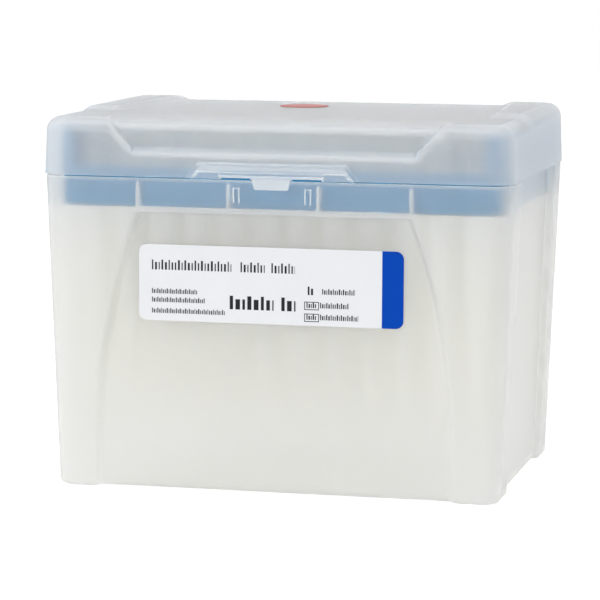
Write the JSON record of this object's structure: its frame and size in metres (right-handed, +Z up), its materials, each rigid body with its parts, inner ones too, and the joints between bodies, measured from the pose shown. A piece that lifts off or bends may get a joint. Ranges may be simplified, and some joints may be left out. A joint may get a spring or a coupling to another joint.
{
  "type": "pipette tip box",
  "caption": "Hinged translucent box holding a grid of long filter pipette tips upright in a coloured rack, with a thumb latch at the front.",
  "frame": {"origin": "middle of the whole closed box at table level, latch and hinges included", "axes": "+X along the long side, to the right when the latch is seen from the front; +Y towards the hinges; +Z up"},
  "size_m": [0.1216, 0.093, 0.0959],
  "materials": {
    "natural_shell": "frosted natural polypropylene",
    "blue_rack": "satin moulded polypropylene",
    "tip_plastic": "clear natural polypropylene",
    "filter_plug": "porous sintered polyethylene",
    "label_film": "printed film",
    "dot_film": "printed film"
  },
  "bodies": {
    "box_base": {"base": "natural_shell", "tip_rack": "blue_rack", "label": "label_film", "tip_front_01": "tip_plastic", "tip_front_02": "tip_plastic", "tip_front_03": "tip_plastic", "tip_front_04": "tip_plastic", "tip_front_05": "tip_plastic", "tip_front_06": "tip_plastic", "tip_front_07": "tip_plastic", "tip_front_08": "tip_plastic", "tip_front_09": "tip_plastic", "tip_front_10": "tip_plastic", "tip_front_11": "tip_plastic", "tip_front_12": "tip_plastic", "tip_back_01": "tip_plastic", "tip_back_02": "tip_plastic", "tip_back_03": "tip_plastic", "tip_back_04": "tip_plastic", "tip_back_05": "tip_plastic", "tip_back_06": "tip_plastic", "tip_back_07": "tip_plastic", "tip_back_08": "tip_plastic", "tip_back_09": "tip_plastic", "tip_back_10": "tip_plastic", "tip_back_11": "tip_plastic", "tip_back_12": "tip_plastic", "filter_front_01": "filter_plug", "filter_front_02": "filter_plug", "filter_front_03": "filter_plug", "filter_front_04": "filter_plug", "filter_front_05": "filter_plug", "filter_front_06": "filter_plug", "filter_front_07": "filter_plug", "filter_front_08": "filter_plug", "filter_front_09": "filter_plug", "filter_front_10": "filter_plug", "filter_front_11": "filter_plug", "filter_front_12": "filter_plug", "filter_back_01": "filter_plug", "filter_back_02": "filter_plug", "filter_back_03": "filter_plug", "filter_back_04": "filter_plug", "filter_back_05": "filter_plug", "filter_back_06": "filter_plug", "filter_back_07": "filter_plug", "filter_back_08": "filter_plug", "filter_back_09": "filter_plug", "filter_back_10": "filter_plug", "filter_back_11": "filter_plug", "filter_back_12": "filter_plug", "tips_row_2": "tip_plastic", "tips_row_3": "tip_plastic", "tips_row_4": "tip_plastic", "tips_row_5": "tip_plastic", "tips_row_6": "tip_plastic", "tips_row_7": "tip_plastic"},
    "box_lid": {"lid": "natural_shell", "indicator_dot": "dot_film"}
  },
  "joints": [
    {"name": "lid_hinge", "type": "hinge", "parent": "box_base", "child": "box_lid", "pos_m": [0, 0.04375, 0.08015], "axis": [-1, 0, 0], "range_deg": [0, 110]}
  ]
}
